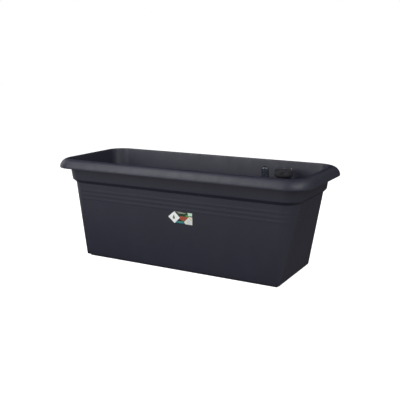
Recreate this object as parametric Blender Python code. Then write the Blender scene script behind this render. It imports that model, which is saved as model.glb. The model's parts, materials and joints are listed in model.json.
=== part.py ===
"""Self-watering trough planter.

A moulded trough stands on a foot ring. Two lift-out decks on legs hold the soil above a water
reservoir, and soil wells hang through them into the water. A filling tube with a hinged lid and a
float gauge rise from the right-hand deck, and plugs at the back close the overflows and the drain.

Metres, +Z up. The origin is the middle of the footprint, on the ground. +X runs along the length
and -Y is the front.
"""

import math

import bmesh
import bpy
from mathutils import Matrix, Vector

# Trough, outside sizes
LENGTH = 0.790
DEPTH = 0.328
HEIGHT = 0.296
WALL = 0.0028
CORNER_STEPS = 7
LEAST_CORNER = 0.0025

# Rolled rim: a quarter-round skirt, open underneath
RIM_DROP = 0.0255
RIM_WIDTH = 0.0244
RIM_SKIN = 0.0024
RIM_CORNER = 0.064
RIM_STEPS = 6
LIP_Z = HEIGHT - RIM_DROP

# Outer wall levels, bottom to top: height, inset from the rim along X and Y, corner radius
FOOT_Z = 0.0045
STEP_LOW_Z = 0.2252
STEP_HIGH_Z = 0.2340
WALL_LEVELS = (
    (FOOT_Z, 0.0825, 0.0510, 0.0060),
    (STEP_LOW_Z, 0.0385, 0.0385, 0.0460),
    (STEP_HIGH_Z, 0.0311, 0.0311, 0.0465),
    (LIP_Z, 0.0271, 0.0271, 0.0470),
)

# Three raised ribs run round the wall below the step
RIB_TOP_Z = 0.2044
RIB_PITCH = 0.0124
RIB_WIDTH = 0.0104
RIB_HEIGHT = 0.0006
RIB_COUNT = 3

# Base
BASE_FILLET = 0.0035
FOOT_INSET = 0.0075
FOOT_WIDTH = 0.0050
RECESS_Z = 0.0035
FLOOR_Z = 0.0070
FLOOR_FILLET = 0.0060

# Openings in the back wall, each in a raised round boss
BOSS_RADIUS = 0.0130
BOSS_PROUD = 0.0030
PORT_RADIUS = 0.0085
OVERFLOW_X = 0.200
OVERFLOW_Z = 0.0500
DRAIN_Z = 0.0225
PORT_SEGMENTS = 16

# Plugs and their seals, in the order they stack up away from the boss
GAP = 0.0003
SEAL_THICKNESS = 0.0020
SEAL_RADIUS = 0.0115
PLUG_HEAD_RADIUS = 0.0125
PLUG_HEAD = 0.0040
PLUG_SHANK_RADIUS = 0.0076
PLUG_SHANK = 0.0120
PLUG_GRIP = (0.0180, 0.0055, 0.0030)

# Decks: two halves, mirrored, that part at the middle of the trough
DECK_LENGTH = 0.3190
DECK_HALF_DEPTH = 0.1116
DECK_CORNER = 0.0180
DECK_SPLIT = 0.0006
DECK_UNDER_Z = 0.0700
DECK_TOP_Z = 0.0725
SKIRT_DROP = 0.0085
SKIRT_WALL = 0.0024
STIFFENER_Y = (-0.0600, 0.0400)
STIFFENER_X = 0.1575
STIFFENER = (0.0020, 0.0060)
SLOT = (0.0240, 0.0036)
SLOT_PITCH = (0.0340, 0.0170)
SLOT_MARGIN = 0.0030

# Legs, four to a deck
LEG_PLACES = ((0.035, -0.086), (0.035, 0.086), (0.285, -0.086), (0.285, 0.086))
LEG_RADIUS = 0.0140
LEG_WALL = 0.0020
LEG_FOOT_RADIUS = 0.0180
LEG_FOOT = 0.0025
LEG_SEGMENTS = 16
SPIGOT_RADIUS = 0.0114
SPIGOT_WALL = 0.0020
SPIGOT_DROP = 0.0080

# Soil wells, two to a deck
WELL_PLACES = ((0.095, -0.012), (0.220, -0.012))
WELL_TOP_RADIUS = 0.0395
WELL_LOW_RADIUS = 0.0300
WELL_FLANGE_RADIUS = 0.0460
WELL_FLANGE = 0.0020
WELL_WALL = 0.0020
WELL_FLOOR_Z = 0.0110
WELL_DRAIN_RADIUS = 0.0060
WELL_CLEARANCE = 0.0010
WELL_SLOTS = 8
WELL_SLOT = (0.0040, 0.0200, 0.0600)
WELL_SEGMENTS = 20

# Filling tube
FILL_X = 0.2450
FILL_Y = 0.0720
FILL_RADIUS = 0.0170
FILL_WALL = 0.0020
FILL_MOUTH_RADIUS = 0.0270
FILL_FLARE_Z = 0.2500
FILL_MOUTH_Z = 0.2680
FILL_TOP_Z = 0.2760
FILL_COLLAR_RADIUS = 0.0240
TUBE_LOW_Z = 0.0110
COLLAR = 0.0025
TUBE_SEGMENTS = 20
FILL_NOTCH = 0.0060
GAUGE_NOTCH = 0.0030
NOTCH_TOP_Z = 0.0250

# Lid of the filling tube, and its hinge
HINGE_Y = FILL_Y + 0.0315
HINGE_Z = 0.2788
LID_RADIUS = 0.0273
LID_THICKNESS = 0.0026
LID_RING_RADIUS = 0.0234
LID_RING_WALL = 0.0016
LID_RING_DROP = 0.0045
LID_TAB = (0.0140, 0.0065)
NECK_WIDTH = 0.0100
KNUCKLE_RADIUS = 0.0030
PIN_RADIUS = 0.0014
PIN_BORE_RADIUS = 0.0019
EAR_INNER_X = 0.0060
EAR_OUTER_X = 0.0092
EAR_DROP = 0.0150
PIN_HEAD_RADIUS = 0.0026
PIN_HEAD = 0.0010
HINGE_SEGMENTS = 16

# Float gauge
GAUGE_X = 0.1850
GAUGE_Y = 0.0800
GAUGE_RADIUS = 0.0110
GAUGE_WALL = 0.0018
GAUGE_COLLAR_RADIUS = 0.0160
GAUGE_LIP_RADIUS = 0.0065
GAUGE_TOP_Z = 0.2380
WINDOW_TOP_Z = 0.2850
WINDOW_WALL = 0.0016
WINDOW_SPIGOT_RADIUS = 0.0087
WINDOW_SPIGOT_DROP = 0.0080
WINDOW_DOME = 0.0060
DOME_STEPS = 4
FLOAT_RADIUS = 0.0080
FLOAT_LENGTH = 0.0300
FLOAT_BEVEL = 0.0020
FLOAT_LOW_Z = TUBE_LOW_Z + GAUGE_WALL + GAP
ROD_RADIUS = 0.0012
MARKER_RADIUS = 0.0050
MARKER_LOW_Z = 0.2400
MARKER_LENGTH = 0.0070

# Sticker on the front wall: a square-ended tag with a pointed left end
TAG_TIP_X = -0.0155
TAG_LENGTH = 0.0760
TAG_POINT = 0.0195
TAG_HEIGHT = 0.0330
TAG_THICKNESS = 0.0004
TAG_MIDDLE_Z = 0.1578

# Name: linear colour, roughness, metallic
MATERIALS = {
    "trough_plastic": ((0.034, 0.034, 0.048), 0.55, 0.0),
    "insert_plastic": ((0.014, 0.014, 0.015), 0.60, 0.0),
    "tube_plastic": ((0.020, 0.020, 0.024), 0.50, 0.0),
    "plug_plastic": ((0.025, 0.025, 0.028), 0.45, 0.0),
    "seal_rubber": ((0.010, 0.010, 0.010), 0.80, 0.0),
    "float_foam": ((0.75, 0.74, 0.70), 0.70, 0.0),
    "marker_red": ((0.55, 0.03, 0.02), 0.35, 0.0),
    "clear_plastic": ((0.85, 0.90, 0.92), 0.10, 0.0),
    "steel": ((0.55, 0.55, 0.56), 0.35, 1.0),
    "tag_paper": ((0.12, 0.30, 0.26), 0.40, 0.0),
}


def clear_scene():
    for obj in list(bpy.data.objects):
        bpy.data.objects.remove(obj)


def make_material(name):
    colour, roughness, metallic = MATERIALS[name]
    material = bpy.data.materials.new(name)
    material.use_nodes = True
    shader = material.node_tree.nodes["Principled BSDF"]
    shader.inputs["Base Color"].default_value = (*colour, 1.0)
    shader.inputs["Roughness"].default_value = roughness
    shader.inputs["Metallic"].default_value = metallic
    material.diffuse_color = (*colour, 1.0)
    return material


# Mesh builders


def add_loft(bm, rings):
    """Skin over rings of equal length, listed up the outside of the shape, with both ends capped."""
    loops = [[bm.verts.new(point) for point in ring] for ring in rings]
    for low, high in zip(loops, loops[1:]):
        for here in range(len(low)):
            there = (here + 1) % len(low)
            bm.faces.new((low[here], low[there], high[there], high[here]))
    bm.faces.new(list(reversed(loops[0])))
    bm.faces.new(loops[-1])


def add_prism(bm, outline, low_z, high_z):
    """Upright prism over an anticlockwise outline of (x, y) points."""
    add_loft(bm, [[(x, y, z) for x, y in outline] for z in (low_z, high_z)])


def add_box(bm, low, high):
    outline = [(low[0], low[1]), (high[0], low[1]), (high[0], high[1]), (low[0], high[1])]
    add_prism(bm, outline, low[2], high[2])


def placed(bm, matrix, add, *shape, **options):
    """Add a shape and move only its own vertices by a matrix."""
    before = set(bm.verts)
    add(bm, *shape, **options)
    bmesh.ops.transform(bm, matrix=matrix, verts=[v for v in bm.verts if v not in before])


def add_turned(bm, profile, segments, closed=False):
    """Turn a profile of (radius, height) points about Z. It runs up the outside of the section.

    A closed profile makes a ring. An open one starts and ends on the axis.
    """
    angles = [2 * math.pi * step / segments for step in range(segments)]
    rings = []
    for radius, height in profile:
        if radius == 0:
            rings.append([bm.verts.new((0, 0, height))] * segments)
        else:
            points = [(radius * math.cos(a), radius * math.sin(a), height) for a in angles]
            rings.append([bm.verts.new(point) for point in points])
    pairs = list(zip(rings, rings[1:]))
    if closed:
        pairs.append((rings[-1], rings[0]))
    for low, high in pairs:
        for here in range(segments):
            there = (here + 1) % segments
            corners = (low[here], low[there], high[there], high[here])
            bm.faces.new(list(dict.fromkeys(corners)))


def add_cylinder(bm, radius, low_z, high_z, segments):
    add_turned(bm, [(0, low_z), (radius, low_z), (radius, high_z), (0, high_z)], segments)


def finish_mesh(name, bm):
    mesh = bpy.data.meshes.new(name)
    bm.to_mesh(mesh)
    bm.free()
    mesh.shade_smooth()
    mesh.set_sharp_from_angle(angle=math.radians(30))
    return mesh


def make_object(name, bm, material, parent=None):
    """Object from a bmesh. Under a parent empty, its mesh is given about that empty."""
    obj = bpy.data.objects.new(name, finish_mesh(name, bm))
    obj.data.materials.append(material)
    obj.parent = parent
    bpy.context.scene.collection.objects.link(obj)
    return obj


def make_empty(name, location, parent=None):
    empty = bpy.data.objects.new(name, None)
    empty.location = location
    empty.parent = parent
    empty.empty_display_size = 0.02
    bpy.context.scene.collection.objects.link(empty)
    return empty


def boolean(obj, name, bm, operation):
    """Fuse a shape to an object or cut it away. The shape is given in the object's own space."""
    tool = bpy.data.objects.new(f"{obj.name}.{name}", finish_mesh(name, bm))
    tool.hide_render = True
    tool.display_type = "WIRE"
    tool.parent = obj
    bpy.context.scene.collection.objects.link(tool)
    modifier = obj.modifiers.new(name, "BOOLEAN")
    modifier.operation = operation
    modifier.solver = "EXACT"
    modifier.object = tool


# Trough


def rounded_rectangle(height, half_length, half_depth, radius):
    """Anticlockwise ring of points, with CORNER_STEPS chords to each corner."""
    points = []
    for corner, (side_x, side_y) in enumerate(((1, 1), (-1, 1), (-1, -1), (1, -1))):
        for step in range(CORNER_STEPS + 1):
            angle = math.pi / 2 * (corner + step / CORNER_STEPS)
            x = side_x * (half_length - radius) + radius * math.cos(angle)
            y = side_y * (half_depth - radius) + radius * math.sin(angle)
            points.append((x, y, height))
    return points


def wall_section(height, inward=0.0):
    """Half length, half depth and corner radius of the outer wall at a height, moved inward."""
    levels = list(zip(WALL_LEVELS, WALL_LEVELS[1:]))
    low, high = next((pair for pair in levels if height <= pair[1][0]), levels[-1])
    share = (height - low[0]) / (high[0] - low[0])
    inset_x, inset_y, radius = (a + share * (b - a) for a, b in zip(low[1:], high[1:]))
    return (
        LENGTH / 2 - inset_x - inward,
        DEPTH / 2 - inset_y - inward,
        max(radius - inward, LEAST_CORNER),
    )


def wall_ring(height, inward=0.0):
    return rounded_rectangle(height, *wall_section(height, inward))


def back_wall_y(height):
    return wall_section(height)[1]


def rim_ring(angle, skin):
    """Ring of the rolled rim, an angle down from its top, a skin's thickness inside its surface."""
    inset = RIM_WIDTH - (RIM_WIDTH - skin) * math.sin(angle)
    height = LIP_Z + (RIM_DROP - skin) * math.cos(angle)
    radius = RIM_CORNER - inset * (RIM_CORNER - WALL_LEVELS[-1][3]) / RIM_WIDTH
    return rounded_rectangle(height, LENGTH / 2 - inset, DEPTH / 2 - inset, radius)


def foot_rings():
    inner = FOOT_INSET + FOOT_WIDTH
    places = ((RECESS_Z, inner), (0.0, inner), (0.0, FOOT_INSET), (FOOT_Z, FOOT_INSET))
    half_length, half_depth, radius = wall_section(FOOT_Z)
    return [
        rounded_rectangle(z, half_length - inset, half_depth - inset, max(radius - inset, LEAST_CORNER))
        for z, inset in places
    ]


def base_fillet_rings():
    rings = []
    for step in range(4):
        angle = math.pi / 2 * step / 3
        inward = BASE_FILLET * (1 - math.sin(angle))
        rings.append(wall_ring(FOOT_Z + BASE_FILLET * (1 - math.cos(angle)), inward))
    return rings


def rib_rings():
    """The ribs are rounded: each is a raised cosine, listed from the lowest rib up."""
    rings = []
    for rib in reversed(range(RIB_COUNT)):
        middle = RIB_TOP_Z - rib * RIB_PITCH
        for step in range(-3, 4):
            share = step / 3
            out = RIB_HEIGHT * (1 + math.cos(math.pi * share)) / 2
            rings.append(wall_ring(middle + share * RIB_WIDTH / 2, -out))
    return rings


def rim_rings():
    under = [rim_ring(math.pi / 2 * step / RIM_STEPS, RIM_SKIN) for step in range(1, RIM_STEPS + 1)]
    over = [rim_ring(math.pi / 2 * step / RIM_STEPS, 0.0) for step in range(RIM_STEPS, -1, -1)]
    return under + over


def inner_rings():
    """Inside of the trough, from the rounded edge of the rim down to the floor."""
    rings = []
    for share in (0.3, 1.0):
        drop = share * WALL
        rings.append(wall_ring(HEIGHT - drop, WALL - (WALL - drop) * 0.25))
    for height in (LIP_Z, STEP_HIGH_Z, STEP_LOW_Z):
        rings.append(wall_ring(height, WALL))
    for step in range(4):
        angle = math.pi / 2 * step / 3
        height = FLOOR_Z + FLOOR_FILLET * (1 - math.sin(angle))
        inward = WALL + FLOOR_FILLET * (1 - math.cos(angle))
        rings.append(wall_ring(height, inward))
    return rings


def port_places():
    """Name, x and z of each opening in the back wall."""
    return (
        ("overflow_left", -OVERFLOW_X, OVERFLOW_Z),
        ("overflow_right", OVERFLOW_X, OVERFLOW_Z),
        ("drain", 0.0, DRAIN_Z),
    )


def port_shape(radius, start, end):
    """Cylinders along +Y at every port, from start to end measured from the wall's outer face."""
    bm = bmesh.new()
    for _, x, z in port_places():
        along_y = Matrix.Rotation(-math.pi / 2, 4, "X")
        place = Matrix.Translation((x, back_wall_y(z), z)) @ along_y
        placed(bm, place, add_cylinder, radius, start, end, PORT_SEGMENTS)
    return bm


def make_trough(material):
    rings = foot_rings() + base_fillet_rings() + rib_rings()
    rings += [wall_ring(z) for z in (STEP_LOW_Z, STEP_HIGH_Z, LIP_Z, HEIGHT - 2 * RIM_SKIN)]
    rings += rim_rings() + inner_rings()
    bm = bmesh.new()
    add_loft(bm, rings)
    trough = make_object("trough", bm, material)
    boolean(trough, "bosses", port_shape(BOSS_RADIUS, -WALL / 2, BOSS_PROUD), "UNION")
    boolean(trough, "ports", port_shape(PORT_RADIUS, -4 * WALL, 2 * BOSS_PROUD), "DIFFERENCE")


# Plugs and seals, each about an empty on the axis of its port, with +Z of the mesh pointing away


def make_seal(name, frame, material):
    low = GAP
    high = GAP + SEAL_THICKNESS
    inner = PLUG_SHANK_RADIUS + GAP
    profile = [(inner, low), (SEAL_RADIUS, low), (SEAL_RADIUS, high), (inner, high)]
    bm = bmesh.new()
    add_turned(bm, profile, PORT_SEGMENTS, closed=True)
    make_object(name, bm, material, frame)


def make_plug(name, frame, material):
    head = SEAL_THICKNESS + 2 * GAP
    tip = head - PLUG_SHANK
    profile = [
        (0, tip),
        (PLUG_SHANK_RADIUS - 0.001, tip),
        (PLUG_SHANK_RADIUS, tip + 0.001),
        (PLUG_SHANK_RADIUS, head),
        (PLUG_HEAD_RADIUS, head),
        (PLUG_HEAD_RADIUS, head + PLUG_HEAD - 0.001),
        (PLUG_HEAD_RADIUS - 0.001, head + PLUG_HEAD),
        (0, head + PLUG_HEAD),
    ]
    bm = bmesh.new()
    add_turned(bm, profile, PORT_SEGMENTS)
    plug = make_object(name, bm, material, frame)
    length, height, width = PLUG_GRIP
    low = (-length / 2, -width / 2, head + PLUG_HEAD / 2)
    high = (length / 2, width / 2, head + PLUG_HEAD + height)
    grip = bmesh.new()
    add_box(grip, low, high)
    boolean(plug, "grip", grip, "UNION")


def make_ports(plug_material, seal_material):
    for name, x, z in port_places():
        frame = make_empty(f"{name}_axis", (x, back_wall_y(z) + BOSS_PROUD, z))
        frame.rotation_euler = (-math.pi / 2, 0, 0)
        make_seal(f"{name}_seal", frame, seal_material)
        make_plug(f"{name}_plug", frame, plug_material)


# Decks


def deck_outline(inward=0.0):
    """Anticlockwise outline of the right-hand deck: square at the split, rounded at the far end."""
    split = DECK_SPLIT + inward
    half_depth = DECK_HALF_DEPTH - inward
    far = DECK_LENGTH - inward
    radius = DECK_CORNER - inward
    points = [(split, half_depth), (split, -half_depth)]
    for corner, side_y in ((3, -1), (0, 1)):
        for step in range(CORNER_STEPS + 1):
            angle = math.pi / 2 * (corner + step / CORNER_STEPS)
            x = far - radius + radius * math.cos(angle)
            y = side_y * (half_depth - radius) + radius * math.sin(angle)
            points.append((x, y))
    return points


def mirrored(bm, side):
    """Mirror a shape across X = 0 for the left-hand deck, with its faces still pointing out."""
    if side < 0:
        bmesh.ops.scale(bm, vec=(-1, 1, 1), verts=bm.verts)
        bmesh.ops.reverse_faces(bm, faces=bm.faces)
    return bm


def deck_holes(side):
    """Place and radius of each round hole through a deck."""
    holes = [(x, y, WELL_TOP_RADIUS + WELL_CLEARANCE) for x, y in WELL_PLACES]
    if side > 0:
        holes.append((FILL_X, FILL_Y, FILL_RADIUS + GAP))
        holes.append((GAUGE_X, GAUGE_Y, GAUGE_RADIUS + GAP))
    return holes


def slot_is_clear(x, y, side):
    """Whether a slot there misses the wells, tubes, legs, stiffeners and edges."""
    reach_x = SLOT[0] / 2 + SLOT_MARGIN
    reach_y = SLOT[1] / 2 + SLOT_MARGIN
    keep_out = [(px, py, WELL_FLANGE_RADIUS) for px, py in WELL_PLACES]
    keep_out += [(px, py, LEG_RADIUS) for px, py in LEG_PLACES]
    if side > 0:
        keep_out.append((FILL_X, FILL_Y, FILL_COLLAR_RADIUS))
        keep_out.append((GAUGE_X, GAUGE_Y, GAUGE_COLLAR_RADIUS))
    for px, py, radius in keep_out:
        nearest_x = max(abs(px - x) - reach_x, 0)
        nearest_y = max(abs(py - y) - reach_y, 0)
        if math.hypot(nearest_x, nearest_y) < radius:
            return False
    if abs(x - STIFFENER_X) < reach_x:
        return False
    return all(abs(y - rib_y) > reach_y for rib_y in STIFFENER_Y)


def slot_shape(side):
    bm = bmesh.new()
    half_x, half_y = SLOT[0] / 2, SLOT[1] / 2
    for column in range(9):
        for row in range(-6, 7):
            x = 0.024 + column * SLOT_PITCH[0]
            y = row * SLOT_PITCH[1]
            if slot_is_clear(x, y, side):
                low = (x - half_x, y - half_y, DECK_UNDER_Z - 0.001)
                high = (x + half_x, y + half_y, DECK_TOP_Z + 0.001)
                add_box(bm, low, high)
    return bm


def hole_shape(side):
    bm = bmesh.new()
    low, high = DECK_UNDER_Z - 0.001, DECK_TOP_Z + 0.001
    for x, y, radius in deck_holes(side):
        place = Matrix.Translation((x, y, 0))
        placed(bm, place, add_cylinder, radius, low, high, WELL_SEGMENTS)
    return bm


def spigot_shape():
    """Rings under a deck that the legs push over."""
    bm = bmesh.new()
    inner = SPIGOT_RADIUS - SPIGOT_WALL
    low = DECK_UNDER_Z - SPIGOT_DROP
    high = DECK_UNDER_Z + 0.001
    profile = [(inner, low), (SPIGOT_RADIUS, low), (SPIGOT_RADIUS, high), (inner, high)]
    for x, y in LEG_PLACES:
        place = Matrix.Translation((x, y, 0))
        placed(bm, place, add_turned, profile, LEG_SEGMENTS, closed=True)
    return bm


def lengthwise_stiffeners():
    bm = bmesh.new()
    thick, deep = STIFFENER
    for y in STIFFENER_Y:
        low = (DECK_SPLIT + SKIRT_WALL / 2, y - thick / 2, DECK_UNDER_Z - deep)
        high = (DECK_LENGTH - SKIRT_WALL / 2, y + thick / 2, DECK_UNDER_Z + 0.001)
        add_box(bm, low, high)
    return bm


def cross_stiffener():
    bm = bmesh.new()
    thick, deep = STIFFENER
    reach = DECK_HALF_DEPTH - SKIRT_WALL / 2
    low = (STIFFENER_X - thick / 2, -reach, DECK_UNDER_Z - deep)
    high = (STIFFENER_X + thick / 2, reach, DECK_UNDER_Z + 0.001)
    add_box(bm, low, high)
    return bm


def make_deck(name, side, material):
    skirt_z = DECK_UNDER_Z - SKIRT_DROP
    shell = bmesh.new()
    add_prism(shell, deck_outline(), skirt_z, DECK_TOP_Z)
    hollow = bmesh.new()
    add_prism(hollow, deck_outline(SKIRT_WALL), skirt_z - 0.001, DECK_UNDER_Z)
    deck = make_object(name, mirrored(shell, side), material)
    boolean(deck, "hollow", mirrored(hollow, side), "DIFFERENCE")
    boolean(deck, "long_ribs", mirrored(lengthwise_stiffeners(), side), "UNION")
    boolean(deck, "cross_rib", mirrored(cross_stiffener(), side), "UNION")
    boolean(deck, "spigots", mirrored(spigot_shape(), side), "UNION")
    boolean(deck, "holes", mirrored(hole_shape(side), side), "DIFFERENCE")
    boolean(deck, "slots", mirrored(slot_shape(side), side), "DIFFERENCE")


def leg_mesh():
    """A cup with a flat foot. Its open top pushes over a spigot."""
    low = FLOOR_Z + GAP
    top = DECK_UNDER_Z - GAP
    profile = [
        (0, low),
        (LEG_FOOT_RADIUS, low),
        (LEG_FOOT_RADIUS, low + LEG_FOOT),
        (LEG_RADIUS, low + LEG_FOOT),
        (LEG_RADIUS, top),
        (LEG_RADIUS - LEG_WALL, top),
        (LEG_RADIUS - LEG_WALL, low + LEG_FOOT),
        (0, low + LEG_FOOT),
    ]
    bm = bmesh.new()
    add_turned(bm, profile, LEG_SEGMENTS)
    return finish_mesh("leg", bm)


def well_profile():
    seat = DECK_TOP_Z + GAP
    return [
        (WELL_DRAIN_RADIUS, WELL_FLOOR_Z),
        (WELL_LOW_RADIUS, WELL_FLOOR_Z),
        (WELL_TOP_RADIUS, DECK_UNDER_Z),
        (WELL_TOP_RADIUS, seat),
        (WELL_FLANGE_RADIUS, seat),
        (WELL_FLANGE_RADIUS, seat + WELL_FLANGE),
        (WELL_TOP_RADIUS - WELL_WALL, seat + WELL_FLANGE),
        (WELL_TOP_RADIUS - WELL_WALL, DECK_UNDER_Z),
        (WELL_LOW_RADIUS - WELL_WALL, WELL_FLOOR_Z + WELL_WALL),
        (WELL_DRAIN_RADIUS, WELL_FLOOR_Z + WELL_WALL),
    ]


def well_slot_shape():
    """Upright slots through the side of a well, all the way round."""
    bm = bmesh.new()
    width, low_z, high_z = WELL_SLOT
    for index in range(WELL_SLOTS):
        turn = Matrix.Rotation(2 * math.pi * (index + 0.5) / WELL_SLOTS, 4, "Z")
        low = (WELL_LOW_RADIUS * 0.7, -width / 2, low_z)
        high = (WELL_TOP_RADIUS * 1.2, width / 2, high_z)
        placed(bm, turn, add_box, low, high)
    return bm


def make_well(name, location, material):
    bm = bmesh.new()
    add_turned(bm, well_profile(), WELL_SEGMENTS, closed=True)
    well = make_object(name, bm, material)
    well.location = location
    boolean(well, "slots", well_slot_shape(), "DIFFERENCE")


def make_deck_fittings(word, side, material, leg):
    """The legs and soil wells of one deck."""
    for index, (x, y) in enumerate(LEG_PLACES, start=1):
        obj = bpy.data.objects.new(f"{word}_leg_{index}", leg)
        obj.location = (side * x, y, 0)
        bpy.context.scene.collection.objects.link(obj)
    for index, (x, y) in enumerate(WELL_PLACES, start=1):
        make_well(f"{word}_soil_well_{index}", (side * x, y, 0), material)


# Filling tube, lid and hinge


def tube_notches(radius, width, low_z):
    """Four water gaps through the wall near the foot of a tube."""
    bm = bmesh.new()
    for index in range(4):
        turn = Matrix.Rotation(math.pi / 2 * (index + 0.5), 4, "Z")
        low = (radius * 0.7, -width / 2, low_z)
        high = (radius * 1.3, width / 2, NOTCH_TOP_Z)
        placed(bm, turn, add_box, low, high)
    return bm


def fill_tube_profile():
    seat = DECK_TOP_Z + GAP
    return [
        (FILL_RADIUS, TUBE_LOW_Z),
        (FILL_RADIUS, seat),
        (FILL_COLLAR_RADIUS, seat),
        (FILL_COLLAR_RADIUS, seat + COLLAR),
        (FILL_RADIUS, seat + COLLAR),
        (FILL_RADIUS, FILL_FLARE_Z),
        (FILL_MOUTH_RADIUS, FILL_MOUTH_Z),
        (FILL_MOUTH_RADIUS, FILL_TOP_Z),
        (FILL_MOUTH_RADIUS - FILL_WALL, FILL_TOP_Z),
        (FILL_MOUTH_RADIUS - FILL_WALL, FILL_MOUTH_Z),
        (FILL_RADIUS - FILL_WALL, FILL_FLARE_Z),
        (FILL_RADIUS - FILL_WALL, TUBE_LOW_Z),
    ]


def cylinder_along_x(radius, half_length, y, z):
    """Cylinder along X, centred on X = 0."""
    bm = bmesh.new()
    place = Matrix.Translation((0, y, z)) @ Matrix.Rotation(math.pi / 2, 4, "Y")
    placed(bm, place, add_cylinder, radius, -half_length, half_length, HINGE_SEGMENTS)
    return bm


def ear_shape(side):
    """One hinge ear: an upright lug behind the mouth, rounded about the hinge."""
    inner = FILL_MOUTH_RADIUS - FILL_WALL / 2
    behind = HINGE_Y - FILL_Y - KNUCKLE_RADIUS
    back = HINGE_Y - FILL_Y + KNUCKLE_RADIUS
    low = FILL_TOP_Z - EAR_DROP
    ledge = FILL_TOP_Z - GAP
    side_on = [(inner, low), (back, low), (back, HINGE_Z)]
    for step in range(1, 8):
        angle = math.pi * step / 8
        y = HINGE_Y - FILL_Y + KNUCKLE_RADIUS * math.cos(angle)
        side_on.append((y, HINGE_Z + KNUCKLE_RADIUS * math.sin(angle)))
    side_on += [(behind, HINGE_Z), (behind, ledge), (inner, ledge)]
    span = sorted((side * EAR_INNER_X, side * EAR_OUTER_X))
    bm = bmesh.new()
    add_loft(bm, [[(x, y, z) for y, z in side_on] for x in span])
    return bm


def make_fill_tube(material):
    bm = bmesh.new()
    add_turned(bm, fill_tube_profile(), TUBE_SEGMENTS, closed=True)
    tube = make_object("fill_tube", bm, material)
    tube.location = (FILL_X, FILL_Y, 0)
    notches = tube_notches(FILL_RADIUS, FILL_NOTCH, TUBE_LOW_Z - 0.001)
    boolean(tube, "notches", notches, "DIFFERENCE")
    boolean(tube, "ear_right", ear_shape(1), "UNION")
    boolean(tube, "ear_left", ear_shape(-1), "UNION")
    bore = cylinder_along_x(PIN_BORE_RADIUS, EAR_OUTER_X + 0.001, HINGE_Y - FILL_Y, HINGE_Z)
    boolean(tube, "pin_bore", bore, "DIFFERENCE")


def lid_disc(bm):
    """Disc with a finger tab at the front and a neck at the back, as one outline."""
    low = FILL_TOP_Z + GAP - HINGE_Z
    middle = FILL_Y - HINGE_Y
    tab_width, tab_reach = LID_TAB
    half_tab = math.asin(tab_width / 2 / LID_RADIUS)
    half_neck = math.asin(NECK_WIDTH / 2 / LID_RADIUS)
    outline = [(-NECK_WIDTH / 2, 0.0)]
    steps = 14
    for step in range(steps + 1):
        angle = math.pi / 2 + half_neck + (math.pi - half_neck - half_tab) * step / steps
        outline.append((LID_RADIUS * math.cos(angle), middle + LID_RADIUS * math.sin(angle)))
    outline.append((-tab_width / 2, middle - LID_RADIUS - tab_reach))
    outline.append((tab_width / 2, middle - LID_RADIUS - tab_reach))
    for step in range(steps + 1):
        angle = -math.pi / 2 + half_tab + (math.pi - half_neck - half_tab) * step / steps
        outline.append((LID_RADIUS * math.cos(angle), middle + LID_RADIUS * math.sin(angle)))
    outline.append((NECK_WIDTH / 2, 0.0))
    add_prism(bm, outline, low, low + LID_THICKNESS)


def make_lid(frame, material):
    """The lid's mesh is given about the hinge axis."""
    bm = bmesh.new()
    lid_disc(bm)
    lid = make_object("fill_lid", bm, material, frame)
    knuckle = cylinder_along_x(KNUCKLE_RADIUS, NECK_WIDTH / 2, 0, 0)
    boolean(lid, "knuckle", knuckle, "UNION")
    ring = bmesh.new()
    high = FILL_TOP_Z + GAP - HINGE_Z + LID_THICKNESS / 2
    low = high - LID_THICKNESS / 2 - LID_RING_DROP
    inner = LID_RING_RADIUS - LID_RING_WALL
    profile = [(inner, low), (LID_RING_RADIUS, low), (LID_RING_RADIUS, high), (inner, high)]
    add_turned(ring, profile, TUBE_SEGMENTS, closed=True)
    bmesh.ops.translate(ring, vec=(0, FILL_Y - HINGE_Y, 0), verts=ring.verts)
    boolean(lid, "ring", ring, "UNION")
    bore = cylinder_along_x(PIN_BORE_RADIUS, NECK_WIDTH, 0, 0)
    boolean(lid, "bore", bore, "DIFFERENCE")


def make_pin(frame, material):
    """Hinge pin with a low head at each end."""
    end = EAR_OUTER_X + GAP
    profile = [
        (0, -end - PIN_HEAD),
        (PIN_HEAD_RADIUS, -end - PIN_HEAD),
        (PIN_HEAD_RADIUS, -end),
        (PIN_RADIUS, -end),
        (PIN_RADIUS, end),
        (PIN_HEAD_RADIUS, end),
        (PIN_HEAD_RADIUS, end + PIN_HEAD),
        (0, end + PIN_HEAD),
    ]
    bm = bmesh.new()
    placed(bm, Matrix.Rotation(math.pi / 2, 4, "Y"), add_turned, profile, HINGE_SEGMENTS)
    make_object("hinge_pin", bm, material, frame)


# Float gauge


def gauge_tube_profile():
    seat = DECK_TOP_Z + GAP
    inner = GAUGE_RADIUS - GAUGE_WALL
    return [
        (GAUGE_LIP_RADIUS, TUBE_LOW_Z),
        (GAUGE_RADIUS, TUBE_LOW_Z),
        (GAUGE_RADIUS, seat),
        (GAUGE_COLLAR_RADIUS, seat),
        (GAUGE_COLLAR_RADIUS, seat + COLLAR),
        (GAUGE_RADIUS, seat + COLLAR),
        (GAUGE_RADIUS, GAUGE_TOP_Z),
        (inner, GAUGE_TOP_Z),
        (inner, TUBE_LOW_Z + GAUGE_WALL),
        (GAUGE_LIP_RADIUS, TUBE_LOW_Z + GAUGE_WALL),
    ]


def make_gauge_tube(frame, material):
    bm = bmesh.new()
    add_turned(bm, gauge_tube_profile(), TUBE_SEGMENTS, closed=True)
    tube = make_object("gauge_tube", bm, material, frame)
    notches = tube_notches(GAUGE_RADIUS, GAUGE_NOTCH, TUBE_LOW_Z + 2 * GAUGE_WALL)
    boolean(tube, "notches", notches, "DIFFERENCE")


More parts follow.
